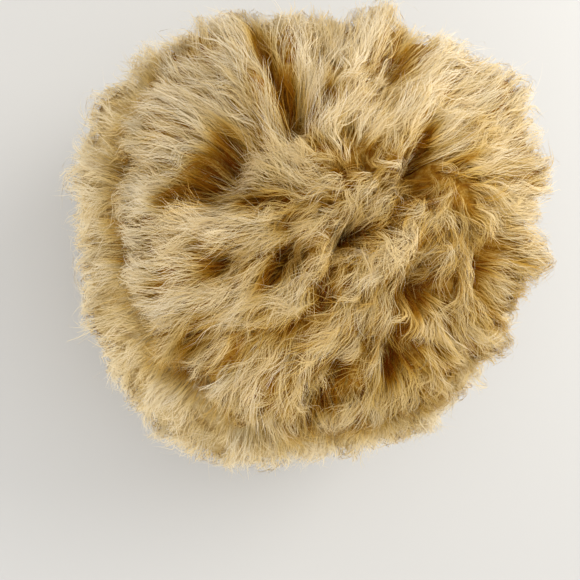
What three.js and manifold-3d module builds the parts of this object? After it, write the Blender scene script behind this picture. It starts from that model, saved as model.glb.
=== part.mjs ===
// Shearling hat: a domed crown panel and a side band of sheepskin, sewn suede side in and fleece side
// out. Each panel is a thin hide wall with its deep fleece round it. The fleece is a backing with the
// locks of wool fused to it and partings cut into it, and it falls into two masses at the crown seam.
// Millimetres, +Z up, origin on the table under the middle of the hat's outline, +X to the right and +Y
// to the back as seen from above.

import * as THREE from "three";
import { mergeVertices } from "three/addons/utils/BufferGeometryUtils.js";
import Module from "manifold-3d";

const wasm = await Module();
wasm.setup();

// Driving dimensions
const HEAD_WIDTH = 172; // clear width of the head opening
const HEAD_LENGTH = 196; // clear length of the head opening, front to back
const HIDE_WALL = 2; // thickness of the suede
const BAND_HEIGHT = 125; // rim to crown seam, on the hide
const CROWN_RISE = 25; // crown seam to the top of the hide
const BAND_PILE = 52; // how far the band's fleece stands out
const CROWN_SIDE_PILE = 32; // how far the crown's fleece stands out past its edge
const CROWN_TOP_PILE = 50; // depth of the fleece on top of the crown
const VALLEY_RISE = 28; // from the seam up to the valley between the two fleeces
const VALLEY_REACH = 20; // from the seam out to the valley
const CROWN_LEAN = 6; // how far the crown's fleece leans to +X
const LOCK_LENGTH = 46; // a lock of wool, root to tip
const LOCK_WIDTH = 32; // a lock across its widest
const LOCK_THICKNESS = 17; // a lock at its thickest
const PIECE_GAP = 0.3; // clearance between neighbouring pieces

// Facets
const SIDES = 36; // round the hat
const LOCK_SIDES = 5; // round a lock
const PARTING_SIDES = 6; // round a parting

// Hide sections. A band row's height is a share of BAND_HEIGHT, a crown row's of CROWN_RISE. Girth is
// a share of the head opening.
const BAND_HIDE_SECTIONS = [
  { name: "rim", height: 0, girth: 1 },
  { name: "forehead", height: 0.4, girth: 1.02 },
  { name: "seam", height: 1, girth: 1 },
];
const CROWN_HIDE_SECTIONS = [
  { name: "seam", height: 0, girth: 1 },
  { name: "edge", height: 0.36, girth: 0.96 },
  { name: "shoulder", height: 0.68, girth: 0.84 },
  { name: "slope", height: 0.87, girth: 0.64 },
  { name: "top_edge", height: 0.97, girth: 0.36 },
  { name: "top", height: 1, girth: 0 },
];

// Fleece sections of the band. Height is a share of BAND_HEIGHT, reach a share of BAND_PILE.
const BAND_FLEECE_SECTIONS = [
  { name: "underside", height: 0, reach: 0.6 },
  { name: "rim_curl", height: 0.08, reach: 0.84 },
  { name: "swell", height: 0.28, reach: 0.98 },
  { name: "middle", height: 0.58, reach: 1 },
  { name: "upper", height: 0.88, reach: 0.95 },
  { name: "shoulder", height: 1.16, reach: 0.85 },
  { name: "crest", height: 1.3, reach: 0.66 },
];

// Fleece sections of the crown. Height is a share of what stands above the seam, spread a share of the
// crown's half-width over the fleece.
const CROWN_FLEECE_SECTIONS = [
  { name: "edge", height: 0.52, spread: 0.97 },
  { name: "brim", height: 0.65, spread: 1 },
  { name: "shoulder", height: 0.79, spread: 0.9 },
  { name: "slope", height: 0.9, spread: 0.7 },
  { name: "cap", height: 0.97, spread: 0.42 },
  { name: "top", height: 1, spread: 0 },
];

// How the fleece reaches out round the hat: degrees from +X towards +Y, shares of the two side piles.
const REACH_AROUND = [
  { name: "right", azimuth: 0, band: 0.9, crown: 1.05 },
  { name: "back_right", azimuth: 32, band: 0.97, crown: 1.42 },
  { name: "back", azimuth: 90, band: 0.54, crown: 0.4 },
  { name: "back_left", azimuth: 142, band: 1.1, crown: 1.08 },
  { name: "left_back", azimuth: 162, band: 1.14, crown: 1.02 },
  { name: "left", azimuth: 185, band: 1.02, crown: 0.88 },
  { name: "front_left", azimuth: 226, band: 1.08, crown: 0.86 },
  { name: "low_left", azimuth: 246, band: 1.04, crown: 0.7 },
  { name: "front", azimuth: 275, band: 0.72, crown: 0.5 },
  { name: "front_right", azimuth: 301, band: 0.82, crown: 0.62 },
  { name: "right_front", azimuth: 327, band: 0.8, crown: 0.92 },
];

// Rows of locks. Place runs up the outside of a mass of fleece, 0 at its lower edge and 1 at its upper
// one. Length and width are shares of a lock's.
const BAND_LOCK_ROWS = [
  { name: "rim", place: 0.24, count: 20, length: 0.5, width: 1 },
  { name: "swell", place: 0.44, count: 19, length: 0.9, width: 1 },
  { name: "middle", place: 0.63, count: 20, length: 0.9, width: 1.05 },
  { name: "crest", place: 0.8, count: 20, length: 0.7, width: 1 },
];
const CROWN_LOCK_ROWS = [
  { name: "edge", place: 0.2, count: 18, length: 0.6, width: 1 },
  { name: "shoulder", place: 0.42, count: 15, length: 0.9, width: 1 },
  { name: "slope", place: 0.65, count: 11, length: 0.9, width: 1 },
  { name: "whorl", place: 0.88, count: 4, length: 0.8, width: 0.95 },
];

// One lock from root to tip. Along is a share of its length, out of LOCK_THICKNESS, aside and size of
// its width.
const LOCK_STATIONS = [
  { name: "root", along: -0.2, out: -0.7, aside: 0, size: 0 },
  { name: "belly", along: 0.2, out: 0, aside: 0.06, size: 1 },
  { name: "back", along: 0.62, out: -0.04, aside: 0.02, size: 0.8 },
  { name: "tip", along: 1, out: -0.16, aside: -0.2, size: 0 },
];

// How the wool is combed: turn is in degrees from straight down the hat towards the left, as seen from
// outside.
const COMBED = [
  { name: "right", azimuth: 0, turn: -8 },
  { name: "back", azimuth: 90, turn: 12 },
  { name: "left", azimuth: 180, turn: -6 },
  { name: "front_left", azimuth: 235, turn: 8 },
  { name: "front", azimuth: 270, turn: 30 },
  { name: "front_right", azimuth: 315, turn: 20 },
];

// Deep partings between the crown's locks. Place is as in the rows of locks, turn as in COMBED; long is
// a share of LOCK_LENGTH, wide and deep are shares of LOCK_WIDTH.
const PARTINGS = [
  { name: "left", azimuth: 168, place: 0.54, turn: -75, long: 1.4, wide: 0.8, deep: 0.8 },
  { name: "back_left", azimuth: 125, place: 0.64, turn: 51, long: 0.8, wide: 0.6, deep: 0.8 },
  { name: "back_left_edge", azimuth: 123, place: 0.46, turn: 12, long: 0.7, wide: 0.4, deep: 0.5 },
  { name: "back", azimuth: 72, place: 0.45, turn: -8, long: 0.8, wide: 0.5, deep: 0.6 },
  { name: "right_middle", azimuth: 30, place: 0.78, turn: -34, long: 0.9, wide: 0.6, deep: 0.7 },
  { name: "middle", azimuth: 262, place: 0.88, turn: 51, long: 0.7, wide: 0.5, deep: 0.7 },
  { name: "left_middle", azimuth: 223, place: 0.67, turn: -8, long: 0.7, wide: 0.5, deep: 0.6 },
  { name: "left_low", azimuth: 206, place: 0.5, turn: -29, long: 0.7, wide: 0.5, deep: 0.6 },
  { name: "left_edge", azimuth: 224, place: 0.28, turn: 0, long: 0.8, wide: 0.6, deep: 0.6 },
  { name: "right_low", azimuth: 308, place: 0.64, turn: 69, long: 1, wide: 0.5, deep: 0.7 },
  { name: "front_right", azimuth: 284, place: 0.47, turn: 16, long: 0.8, wide: 0.5, deep: 0.6 },
  { name: "front", azimuth: 262, place: 0.36, turn: 35, long: 0.8, wide: 0.5, deep: 0.6 },
  { name: "right", azimuth: 334, place: 0.5, turn: 86, long: 0.8, wide: 0.5, deep: 0.5 },
];

// How much neighbouring locks differ, as shares of their length and in degrees of their turn
const LENGTH_VARIES = 0.14;
const TURN_VARIES = 13;
const GOLDEN_TURN = 2.39996; // radians, keeps the locks of one row clear of those of the next
const TRIM_MARGIN = 60; // how far a cutting form stands clear of what it cuts

const radians = THREE.MathUtils.degToRad;

// Radius of the oval head opening at an azimuth.
function openingRadius(azimuth) {
  const across = (HEAD_LENGTH / 2) * Math.cos(azimuth);
  const along = (HEAD_WIDTH / 2) * Math.sin(azimuth);
  return (HEAD_WIDTH * HEAD_LENGTH) / 4 / Math.hypot(across, along);
}

function hideRadius(azimuth) {
  return openingRadius(azimuth) + HIDE_WALL;
}

function polar(radius, azimuth, height) {
  return new THREE.Vector3(radius * Math.cos(azimuth), radius * Math.sin(azimuth), height);
}

// A table column at an azimuth, eased from row to row round the hat.
function around(rows, column, azimuth) {
  const turn = THREE.MathUtils.euclideanModulo(THREE.MathUtils.radToDeg(azimuth), 360);
  const next = rows.findIndex((row) => row.azimuth > turn);
  const lower = rows[next < 0 ? rows.length - 1 : next - 1];
  const upper = rows[Math.max(next, 0)];
  const span = (next < 0 ? 360 : upper.azimuth) - lower.azimuth;
  const eased = THREE.MathUtils.smoothstep((turn - lower.azimuth) / span, 0, 1);
  return THREE.MathUtils.lerp(lower[column], upper[column], eased);
}

// A closed surface through rings of points. A ring of one point is a pole; without poles the last ring
// joins the first.
function loft(rings) {
  const positions = rings.flat().flatMap((point) => point.toArray());
  const starts = rings.map((_, index) => rings.slice(0, index).flat().length);
  const bands = rings[0].length > 1 ? rings.length : rings.length - 1;
  const indices = [];
  for (let band = 0; band < bands; band++) {
    const next = (band + 1) % rings.length;
    const lowCount = rings[band].length;
    const highCount = rings[next].length;
    for (let side = 0; side < Math.max(lowCount, highCount); side++) {
      const low = starts[band] + (side % lowCount);
      const lowNext = starts[band] + ((side + 1) % lowCount);
      const high = starts[next] + (side % highCount);
      const highNext = starts[next] + ((side + 1) % highCount);
      if (lowCount > 1) indices.push(low, lowNext, high);
      if (highCount > 1) indices.push(lowNext, highNext, high);
    }
  }
  const geometry = new THREE.BufferGeometry();
  geometry.setAttribute("position", new THREE.Float32BufferAttribute(positions, 3));
  geometry.setIndex(indices);
  return geometry;
}

function solidFrom(geometry) {
  const bare = geometry.clone();
  bare.deleteAttribute("normal");
  bare.deleteAttribute("uv");
  const merged = mergeVertices(bare, 1e-4);
  return new wasm.Manifold(
    new wasm.Mesh({
      numProp: 3,
      vertProperties: merged.attributes.position.array,
      triVerts: new Uint32Array(merged.index.array),
    }),
  );
}

function geometryFrom(solid) {
  const { vertProperties, triVerts } = solid.getMesh();
  const geometry = new THREE.BufferGeometry();
  geometry.setAttribute("position", new THREE.BufferAttribute(vertProperties, 3));
  geometry.setIndex(new THREE.BufferAttribute(triVerts, 1));
  geometry.computeVertexNormals();
  return geometry;
}

// A ring round the hat at one height, or a pole where its radius is nothing.
function ring(radiusAt, height) {
  if (radiusAt(0) === 0) return [polar(0, 0, height)];
  return Array.from({ length: SIDES }, (_, side) => {
    const azimuth = (side / SIDES) * 2 * Math.PI;
    return polar(radiusAt(azimuth), azimuth, height);
  });
}

// The hide's rings from a table, its skin moved out by an offset from the inner face.
function hideRings(sections, base, rise, offset) {
  return sections.map((section) => {
    const radiusAt = (azimuth) =>
      section.girth && section.girth * openingRadius(azimuth) + offset;
    return ring(radiusAt, base + section.height * rise);
  });
}

function bandHideRings(offset) {
  return hideRings(BAND_HIDE_SECTIONS, 0, BAND_HEIGHT, offset);
}

function crownHideRings(offset) {
  const rise = CROWN_RISE - HIDE_WALL + offset;
  return hideRings(CROWN_HIDE_SECTIONS, BAND_HEIGHT, rise, offset);
}

function makeBandHide() {
  const outer = bandHideRings(HIDE_WALL);
  const inner = bandHideRings(0);
  return loft([...outer, ...inner.reverse()]);
}

function makeCrownHide() {
  const outer = crownHideRings(HIDE_WALL);
  const inner = crownHideRings(0);
  const shell = loft([...inner.reverse(), ...outer]);
  return shell.translate(0, 0, PIECE_GAP);
}

// All that the hide and its clearance take up, open through the rim.
function hideEnvelope() {
  const offset = HIDE_WALL + PIECE_GAP;
  const below = ring((azimuth) => openingRadius(azimuth) + offset, -TRIM_MARGIN);
  const band = bandHideRings(offset);
  const crown = crownHideRings(offset).slice(1);
  crown.forEach((points) => points.forEach((point) => (point.z += PIECE_GAP)));
  return loft([[polar(0, 0, -TRIM_MARGIN)], below, ...band, ...crown]);
}

function valleyRadius(azimuth) {
  return hideRadius(azimuth) + VALLEY_REACH * around(REACH_AROUND, "crown", azimuth);
}

function valleyPoint(azimuth) {
  return polar(valleyRadius(azimuth), azimuth, BAND_HEIGHT + VALLEY_RISE);
}

// The outside of the band's fleece at one azimuth, from the table to the valley.
function bandProfile(azimuth) {
  const reach = BAND_PILE * around(REACH_AROUND, "band", azimuth);
  const points = BAND_FLEECE_SECTIONS.map((section) =>
    polar(hideRadius(azimuth) + reach * section.reach, azimuth, section.height * BAND_HEIGHT),
  );
  return [...points, valleyPoint(azimuth)];
}

// The outside of the crown's fleece at one azimuth, from the valley to the top.
function crownProfile(azimuth) {
  const halfWidth =
    hideRadius(azimuth) + CROWN_SIDE_PILE * around(REACH_AROUND, "crown", azimuth);
  const points = CROWN_FLEECE_SECTIONS.map((section) => {
    const height = BAND_HEIGHT + section.height * (CROWN_RISE + CROWN_TOP_PILE);
    const point = polar(halfWidth * section.spread, azimuth, height);
    point.x += CROWN_LEAN * section.height;
    return point;
  });
  return [valleyPoint(azimuth), ...points];
}

function fleeceForm() {
  const profiles = Array.from({ length: SIDES }, (_, side) => {
    const azimuth = (side / SIDES) * 2 * Math.PI;
    return [...bandProfile(azimuth), ...crownProfile(azimuth).slice(1)];
  });
  const rings = profiles[0].map((_, row) => profiles.map((profile) => profile[row]));
  const top = rings.pop()[0];
  return solidFrom(loft([[polar(0, 0, 0)], ...rings, [top]]));
}

// Where a lock or parting sits on a mass of fleece: its point and the directions out, along and aside.
function seat(profile, azimuth, place, turn) {
  const curve = new THREE.CatmullRomCurve3(profile(azimuth));
  const point = curve.getPointAt(place);
  const up = curve.getTangentAt(place);
  const right = new THREE.Vector3(-Math.sin(azimuth), Math.cos(azimuth), 0);
  const out = right.clone().cross(up).normalize();
  const along = up.negate().applyAxisAngle(out, -radians(turn));
  const aside = out.clone().cross(along);
  return { point, out, along, aside };
}

function makeLock({ point, out, along, aside }, length, width, hand) {
  const rings = LOCK_STATIONS.map((station) => {
    const centre = point
      .clone()
      .addScaledVector(along, station.along * length)
      .addScaledVector(out, station.out * LOCK_THICKNESS)
      .addScaledVector(aside, station.aside * width * hand);
    if (station.size === 0) return [centre];
    return Array.from({ length: LOCK_SIDES }, (_, side) => {
      const angle = (side / LOCK_SIDES) * 2 * Math.PI;
      return centre
        .clone()
        .addScaledVector(aside, (Math.cos(angle) * station.size * width) / 2)
        .addScaledVector(out, (Math.sin(angle) * station.size * LOCK_THICKNESS) / 2);
    });
  });
  return solidFrom(loft(rings));
}

function makeLocks(profile, rows) {
  return rows.flatMap((row, rowIndex) =>
    Array.from({ length: row.count }, (_, index) => {
      const sway = Math.sin(index * GOLDEN_TURN + rowIndex);
      const azimuth = ((index + rowIndex / 2) / row.count) * 2 * Math.PI;
      const turn = around(COMBED, "turn", azimuth) + TURN_VARIES * sway;
      const length = LOCK_LENGTH * row.length * (1 + LENGTH_VARIES * sway);
      const hand = index % 2 === 0 ? 1 : -1;
      return makeLock(seat(profile, azimuth, row.place, turn), length, LOCK_WIDTH * row.width, hand);
    }),
  );
}

// A parting: a long rounded hollow whose middle lies on the fleece's surface.
function makeParting({ azimuth, place, turn, long, wide, deep }) {
  const { point, out, along, aside } = seat(crownProfile, radians(azimuth), place, turn);
  const hollow = new THREE.SphereGeometry(1, PARTING_SIDES, PARTING_SIDES - 2);
  hollow.scale((wide * LOCK_WIDTH) / 2, (long * LOCK_LENGTH) / 2, deep * LOCK_WIDTH);
  hollow.applyMatrix4(new THREE.Matrix4().makeBasis(aside.negate(), along, out));
  hollow.translate(point.x, point.y, point.z);
  return solidFrom(hollow);
}

// All that lies below the valley, down to a floor. Its roof, raised by a lift, slopes in from outside
// to the valley and on to the seam.
function belowValley(floor, lift) {
  const farRadius = (azimuth) => valleyRadius(azimuth) + TRIM_MARGIN;
  const seam = BAND_HEIGHT + lift;
  return solidFrom(
    loft([
      [polar(0, 0, floor)],
      ring(farRadius, floor),
      ring(farRadius, seam + VALLEY_RISE + TRIM_MARGIN),
      ring(valleyRadius, seam + VALLEY_RISE),
      ring(hideRadius, seam),
      [polar(0, 0, seam)],
    ]),
  );
}

// The one body of a cut fleece, without the loose tips that the cut leaves at its edge.
function mainBody(solid) {
  const bodies = solid.decompose().sort((a, b) => b.volume() - a.volume());
  return bodies[0];
}

function named(name, geometry, material) {
  const mesh = new THREE.Mesh(geometry, material);
  mesh.name = name;
  return mesh;
}

const suede = new THREE.MeshStandardMaterial({ color: 0xb08a5c, roughness: 0.9, metalness: 0 });
const crownWool = new THREE.MeshStandardMaterial({ color: 0xcdb07a, roughness: 1, metalness: 0 });
const bandWool = new THREE.MeshStandardMaterial({ color: 0xdcc599, roughness: 1, metalness: 0 });

const fleece = fleeceForm()
  .add(wasm.Manifold.union(makeLocks(bandProfile, BAND_LOCK_ROWS)))
  .add(wasm.Manifold.union(makeLocks(crownProfile, CROWN_LOCK_ROWS)))
  .subtract(wasm.Manifold.union(PARTINGS.map(makeParting)))
  .subtract(solidFrom(hideEnvelope()));

// The crown's pieces hang in a group whose own floor is the seam.
const crown = new THREE.Group();
crown.position.z = BAND_HEIGHT;
const aboveValley = fleece.subtract(belowValley(-TRIM_MARGIN, PIECE_GAP / 2));
const crownFleece = geometryFrom(mainBody(aboveValley)).translate(0, 0, -BAND_HEIGHT);
crown.add(named("crown_hide", makeCrownHide().translate(0, 0, -BAND_HEIGHT), suede));
crown.add(named("crown_fleece", crownFleece, crownWool));

const band = new THREE.Group();
band.add(named("band_hide", makeBandHide(), suede));
const bandFleece = geometryFrom(mainBody(fleece.intersect(belowValley(0, -PIECE_GAP / 2))));
band.add(named("band_fleece", bandFleece, bandWool));

// The pieces are made round the middle of the head opening, and then stand with the middle of the
// hat's outline over the origin.
const hat = new THREE.Group();
hat.add(band, crown);
hat.updateMatrixWorld(true);
const middle = new THREE.Box3().setFromObject(hat).getCenter(new THREE.Vector3());
hat.position.set(-middle.x, -middle.y, 0);

const group = new THREE.Group();
group.add(hat);

export default group;
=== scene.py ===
"""Looks of the shearling hat: wool in locks, wisps, strands and fibres over the CAD fleece, matted
underwool below it, and suede inside."""

import math

import bpy
import numpy as np
from mathutils import Matrix, Vector
from mathutils.bvhtree import BVHTree


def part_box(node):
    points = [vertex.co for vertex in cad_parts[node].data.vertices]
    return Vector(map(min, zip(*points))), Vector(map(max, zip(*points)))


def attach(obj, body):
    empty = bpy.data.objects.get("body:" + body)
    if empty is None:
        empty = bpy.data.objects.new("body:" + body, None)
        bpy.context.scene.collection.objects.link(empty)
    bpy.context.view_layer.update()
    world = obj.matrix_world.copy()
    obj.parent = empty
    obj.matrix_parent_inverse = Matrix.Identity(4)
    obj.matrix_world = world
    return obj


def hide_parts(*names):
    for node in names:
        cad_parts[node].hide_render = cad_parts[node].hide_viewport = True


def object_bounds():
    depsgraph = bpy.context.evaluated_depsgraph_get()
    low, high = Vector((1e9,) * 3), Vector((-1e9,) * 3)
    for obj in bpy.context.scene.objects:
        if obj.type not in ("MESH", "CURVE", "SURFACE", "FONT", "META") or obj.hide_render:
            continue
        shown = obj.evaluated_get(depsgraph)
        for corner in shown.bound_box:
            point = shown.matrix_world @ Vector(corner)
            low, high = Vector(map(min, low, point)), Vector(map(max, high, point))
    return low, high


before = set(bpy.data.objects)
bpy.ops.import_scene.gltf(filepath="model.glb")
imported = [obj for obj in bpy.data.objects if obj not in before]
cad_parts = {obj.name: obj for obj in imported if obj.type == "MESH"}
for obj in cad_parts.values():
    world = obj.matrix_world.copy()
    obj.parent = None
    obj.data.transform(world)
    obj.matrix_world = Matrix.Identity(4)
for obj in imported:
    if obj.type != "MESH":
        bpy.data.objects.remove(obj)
CAD_BOX = [list(corner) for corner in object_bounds()]

MM = 0.001
RNG = np.random.default_rng(20)
opening = np.array(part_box("band_hide")) / MM
CENTRE_HEIGHT = 55.0  # mm; seen from here the hat is nearly a ball
CENTRE = np.append((opening[0] + opening[1])[:2] / 2, CENTRE_HEIGHT)
BOX_SLACK = 9.0  # mm that stray fibres may stand past the CAD box
FLOOR_CLEAR = 0.5  # mm between the wool and the floor
HIDE_CLEAR = 3.0  # mm between the wool and the hide

# The fleece's outer surface, as distances from CENTRE on a grid of directions
AZ_STEPS = 240
POLAR_STEPS = 150
POLAR_TOP = 0.004  # radians, just off the top
POLAR_END = math.radians(124)
UNDERSIDE_FROM = math.radians(100)  # from here down the floor may cut the fleece
BOTTOM_HEIGHT = 2.0  # mm over the floor, where the side ends
CAST_FROM = 400.0  # mm
NO_FLEECE = 60.0  # mm; a nearer hit than this is none, as in the opening
INSET = 2.5  # mm, leaves room for the tips that stand out of the surface
SOFTENING = 0.4  # how far the wool evens out the fleece's facets and lock edges
FINE_BLUR = 0.8  # cells of the grid, as the other blurs
SOFT_BLUR = 3.5
BROAD_BLUR = 7
NORMAL_BLUR = 2.5
VALLEY_BLUR = 3
BOTTOM_BLUR = 2
LEAST_DROP = 0.05  # of a direction's length; the reach to the floor stays finite
PUFF_HEIGHT = 2.6  # mm, of the soft puffs that the wool stands in
PUFF_SCALE = 15.0
GROOVE_DEPTH = 9.0  # mm, between the crown's fleece and the band's
GROOVE_VARIES = 4.0  # mm
GROOVE_PAINTED_SHADE = 0.5  # share of its depth that is painted as shade in the wool, as in a pit
GROOVE_WIDTH = math.radians(2.8)


def tree_of(*names):
    points, faces = [], []
    for name in names:
        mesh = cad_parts[name].data
        start = len(points)
        points += [vertex.co / MM for vertex in mesh.vertices]
        faces += [[start + i for i in polygon.vertices] for polygon in mesh.polygons]
    return BVHTree.FromPolygons(points, faces)


def unit(vectors):
    return vectors / np.maximum(np.linalg.norm(vectors, axis=-1, keepdims=True), 1e-9)


def direction(azimuth, polar):
    azimuth, polar = np.broadcast_arrays(azimuth, polar)
    return np.stack(
        [np.sin(polar) * np.cos(azimuth), np.sin(polar) * np.sin(azimuth), np.cos(polar)], axis=-1
    )


GRID_AZ = np.arange(AZ_STEPS) * 2 * math.pi / AZ_STEPS
GRID_POLAR = np.linspace(0, POLAR_END, POLAR_STEPS)
GRID_WAYS = direction(GRID_AZ[:, None], GRID_POLAR[None, :])


def cast(tree):
    """Distance from CENTRE of the first surface met from outside; 0 where there is none."""
    found = np.zeros((AZ_STEPS, POLAR_STEPS))
    for i in range(AZ_STEPS):
        for j in range(POLAR_STEPS):
            way = Vector(GRID_WAYS[i, j])
            hit = tree.ray_cast(Vector(CENTRE) + way * CAST_FROM, -way, CAST_FROM)
            if hit[0] is not None:
                found[i, j] = CAST_FROM - hit[3]
    return found


def blurred(grid, cells):
    """Gaussian blur, round the azimuth and up the polar angle."""
    reach = int(math.ceil(cells * 2.5))
    weights = np.exp(-0.5 * (np.arange(-reach, reach + 1) / cells) ** 2)
    weights /= weights.sum()
    padded = np.pad(grid, ((reach, reach), (0, 0)), mode="wrap")
    rows = sum(w * padded[k : k + grid.shape[0]] for k, w in enumerate(weights))
    padded = np.pad(rows, ((0, 0), (reach, reach)), mode="edge")
    return sum(w * padded[:, k : k + grid.shape[1]] for k, w in enumerate(weights))


def last_true(grid):
    return grid.shape[1] - 1 - grid[:, ::-1].argmax(axis=1)


def angles_of(ways):
    azimuth = np.arctan2(ways[..., 1], ways[..., 0]) % (2 * math.pi)
    polar = np.arccos(np.clip(ways[..., 2], -1, 1))
    return azimuth, polar


def sample(grid, ways):
    azimuth, polar = angles_of(ways)
    a = azimuth / (2 * math.pi) * grid.shape[0]
    p = np.clip(polar / POLAR_END * (grid.shape[1] - 1), 0, grid.shape[1] - 1.001)
    a0 = np.floor(a).astype(int) % grid.shape[0]
    p0 = np.floor(p).astype(int)
    fa, fp = a - np.floor(a), p - p0
    a1, p1 = (a0 + 1) % grid.shape[0], p0 + 1
    if grid.ndim == 3:
        fa, fp = fa[..., None], fp[..., None]
    low = grid[a0, p0] * (1 - fp) + grid[a0, p1] * fp
    high = grid[a1, p0] * (1 - fp) + grid[a1, p1] * fp
    return low * (1 - fa) + high * fa


def round_table(values, ways):
    azimuth, _ = angles_of(ways)
    return np.interp(azimuth, np.append(GRID_AZ, 2 * math.pi), np.append(values, values[0]))


WAVE_COUNT = 7
WAVE_SUM = 3.2  # about the most that they add up to


def waves(ways, scale, seed):
    """Smooth noise of about -1 to 1 over the hat."""
    rng = np.random.default_rng(seed)
    axes = unit(rng.normal(size=(WAVE_COUNT, 3))) * scale
    axes = axes * rng.uniform(0.6, 1.4, (WAVE_COUNT, 1))
    phases = rng.uniform(0, 2 * math.pi, WAVE_COUNT)
    return np.sin(ways @ axes.T + phases).sum(axis=-1) / WAVE_SUM


crown_cast = cast(tree_of("crown_fleece"))
band_cast = cast(tree_of("band_fleece"))
POLAR_VALLEY = blurred(GRID_POLAR[last_true(crown_cast > band_cast)][:, None], VALLEY_BLUR)[:, 0]
fleece = np.maximum(crown_cast, band_cast)
floor_reach = (CENTRE_HEIGHT - FLOOR_CLEAR) / np.maximum(-np.cos(GRID_POLAR), LEAST_DROP)
fleece[fleece < NO_FLEECE] = CAST_FROM
fleece = np.where(GRID_POLAR > UNDERSIDE_FROM, np.minimum(fleece, floor_reach), fleece)
above_floor = fleece * np.cos(GRID_POLAR) > BOTTOM_HEIGHT - CENTRE_HEIGHT
POLAR_BOTTOM = blurred(GRID_POLAR[last_true(above_floor)][:, None], BOTTOM_BLUR)[:, 0]

HIDE = cast(tree_of("crown_hide", "band_hide"))
RIM = np.zeros(AZ_STEPS)  # mm from the axis through CENTRE to the outside of the rim
for i, column in enumerate(HIDE):
    last = np.nonzero(column > NO_FLEECE)[0][-1]
    RIM[i] = column[last] * math.sin(GRID_POLAR[last])
    column[last:] = column[last]

POLAR_RIM = math.pi - np.arctan((RIM + HIDE_CLEAR) / (CENTRE_HEIGHT - FLOOR_CLEAR))


def clear_of_rim(points, gap):
    """Points below CENTRE moved out level till they clear the hide and its opening."""
    level = points[..., :2] - CENTRE[:2]
    off_axis = np.maximum(np.linalg.norm(level, axis=-1), 1.0)
    spread = np.maximum(off_axis, round_table(RIM, points - CENTRE) + gap) / off_axis
    spread = np.where(points[..., 2] < CENTRE_HEIGHT, spread, 1.0)[..., None]
    return np.concatenate([CENTRE[:2] + level * spread, points[..., 2:]], axis=-1)


off_valley = (GRID_POLAR - POLAR_VALLEY[:, None]) / GROOVE_WIDTH
groove_depth = GROOVE_DEPTH + GROOVE_VARIES * np.sin(3 * GRID_AZ + 0.6) * np.cos(5 * GRID_AZ)
formed = (1 - SOFTENING) * blurred(fleece, FINE_BLUR) + SOFTENING * blurred(fleece, SOFT_BLUR) - INSET
BROAD = blurred(formed, BROAD_BLUR)
formed += PUFF_HEIGHT * waves(GRID_WAYS, PUFF_SCALE, seed=5)
formed -= groove_depth[:, None] * np.exp(-(off_valley**2))

points_on = CENTRE + GRID_WAYS * blurred(formed, NORMAL_BLUR)[..., None]
along_az = np.roll(points_on, -1, axis=0) - np.roll(points_on, 1, axis=0)
along_polar = np.gradient(points_on, axis=1)
NORMALS = unit(np.cross(along_polar, along_az))
NORMALS[:, 0] = NORMALS[:, 1].mean(axis=0)

# How the wool lies: azimuth from +X towards +Y and polar angle from the top, seen from CENTRE, and the
# turn from straight down the hat towards the right, seen from outside. Degrees.
FLOW = [
    # azimuth, polar, turn
    (163, 43, 9), (145, 41, -6), (132, 34, -12), (110, 32, -18), (84, 32, -10), (58, 34, -4),
    (33, 38, -4), (16, 39, -2), (-5, 36, 0), (-25, 41, 4), (-45, 40, 16), (-63, 44, 16),
    (-83, 44, 9), (-100, 43, 12), (-116, 53, 8), (-134, 56, -1), (-149, 54, -11), (-168, 54, -10),
    (175, 55, -7), (163, 39, 0), (149, 33, -2), (133, 25, -12), (-175, 35, -9), (173, 29, 27),
    (-162, 32, -5), (-166, 19, 14), (152, 23, -8), (102, 17, -20), (139, 11, -2), (151, 4, 61),
    (68, 19, -8), (43, 27, -4), (20, 30, -2), (4, 19, -138), (-5, 28, -37), (-7, 11, -135),
    (-31, 22, -103), (-28, 26, -84), (-89, 12, -50), (-115, 22, -17), (-134, 26, -11),
    (-145, 33, -13), (-151, 38, -17), (-132, 42, -6), (-116, 33, -13), (-98, 27, -20),
    (-68, 23, -50), (-41, 30, -41), (-48, 39, 4), (-72, 35, -18), (-95, 37, -5), (-114, 41, -2),
    (0, 70, 8), (40, 74, -10), (80, 70, 6), (120, 74, 10), (160, 72, -8), (-160, 78, -12),
    (-120, 76, 6), (-80, 72, 12), (-40, 74, 4), (20, 98, -6), (70, 100, 8), (115, 98, -4),
    (165, 100, 8), (-150, 100, -8), (-100, 98, 6), (-55, 100, -8), (-15, 98, 6),
]
FLOW_BLEND = 0.008  # squared distance on the unit ball within which rows of FLOW blend
FLOW_FALL = 2.5  # power by which a row's weight falls beyond that

# Where the wool parts, in hollows painted with shade: places and turns as above, half lengths, half
# widths and depths in mm
PITS = [
    # azimuth, polar, turn, long, wide, deep
    (170, 29, 70, 15, 6, 9), (154, 27, 110, 9, 5, 9), (119, 25, 135, 10, 5, 11), (118, 34, -7, 17, 5, 8),
    (36, 21, -146, 10, 4, 7), (353, 11, -106, 9, 4, 7), (283, 7, -72, 8, 5, 9), (224, 21, 7, 10, 4, 8),
    (206, 29, 32, 9, 4, 7), (222, 40, -1, 9, 5, 7), (226, 46, 12, 8, 5, 7), (309, 25, -74, 9, 3, 10),
    (287, 34, -24, 8, 4, 9), (264, 39, -43, 9, 4, 8), (66, 35, -169, 10, 3, 7), (71, 36, -172, 9, 3, 7),
    (99, 23, 165, 7, 3, 6), (336, 32, -90, 13, 3, 7), (302, 22, -60, 8, 3, 8), (258, 20, -30, 10, 4, 8),
    (245, 27, -20, 9, 4, 7), (280, 27, -30, 8, 4, 8), (297, 31, -40, 7, 3, 8), (270, 33, -30, 7, 4, 7),
    (181, 33, 60, 8, 4, 8), (335, 17, -80, 7, 3, 7), (322, 25, -80, 9, 3, 6), (200, 12, 20, 9, 4, 7),
    (180, 18, 30, 8, 3, 6),
]
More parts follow.
